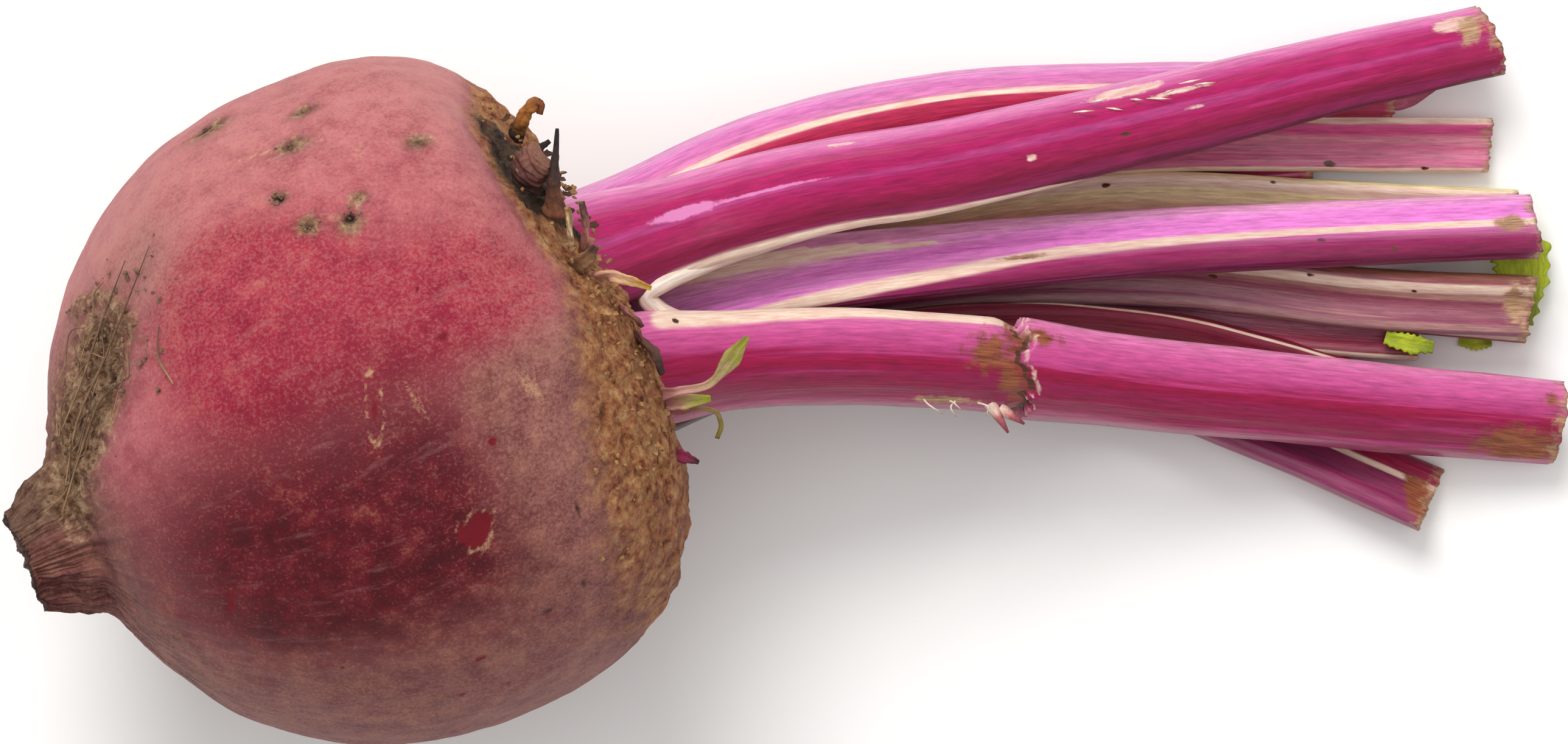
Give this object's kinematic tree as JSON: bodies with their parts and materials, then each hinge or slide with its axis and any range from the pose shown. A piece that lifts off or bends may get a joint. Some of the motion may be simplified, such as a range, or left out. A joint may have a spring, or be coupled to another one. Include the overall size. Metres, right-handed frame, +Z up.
{
  "type": "beetroot",
  "caption": "Whole raw beetroot lying on its side, a round root with a cut tail and trimmed leaf stalks that fan out from its crown.",
  "frame": {"origin": "middle of the small flat spot under the root's belly, on the surface that it lies on", "axes": "+Z up, +X the way the trimmed stalks point, so the cut tail is on the -X side"},
  "size_m": [0.1885, 0.089, 0.08],
  "materials": {
    "root_skin": "matt",
    "magenta_stalk": "satin",
    "purple_stalk": "satin",
    "pink_stalk": "satin",
    "cream_stalk": "satin",
    "leaf_green": "satin",
    "sprout_green": "satin",
    "dried_scale": "matt",
    "dark_scale": "matt",
    "hair_root": "matt"
  },
  "bodies": {
    "root": {"root": "root_skin", "top_stem": "magenta_stalk", "snapped_stem": "magenta_stalk", "middle_stem": "purple_stalk", "arched_stem": "magenta_stalk", "striped_stem": "pink_stalk", "shaded_stem": "magenta_stalk", "pink_stem": "pink_stalk", "cream_stem": "cream_stalk", "slanting_stem": "magenta_stalk", "crimson_stem": "magenta_stalk", "slim_stem": "pink_stalk", "short_stem": "magenta_stalk", "leaf_scrap": "leaf_green", "leaf_scrap_small": "leaf_green", "leaf_scrap_tiny": "leaf_green", "stem_shred": "pink_stalk", "curled_leaf_base": "dried_scale", "little_hook": "dark_scale", "dried_spike": "dark_scale", "leaf_stub": "dried_scale", "pink_scale": "dried_scale", "papery_scale": "dried_scale", "brown_scale": "dried_scale", "yellow_tipped_scale": "dried_scale", "thin_scale": "dried_scale", "dark_scale": "dark_scale", "rim_thorn": "magenta_stalk", "sprout_leaf": "sprout_green", "sprout_small_leaf": "sprout_green", "sprout_thread": "pink_stalk", "hair_root_1": "hair_root", "hair_root_2": "hair_root", "hair_root_3": "hair_root", "hair_root_4": "hair_root"}
  },
  "joints": []
}
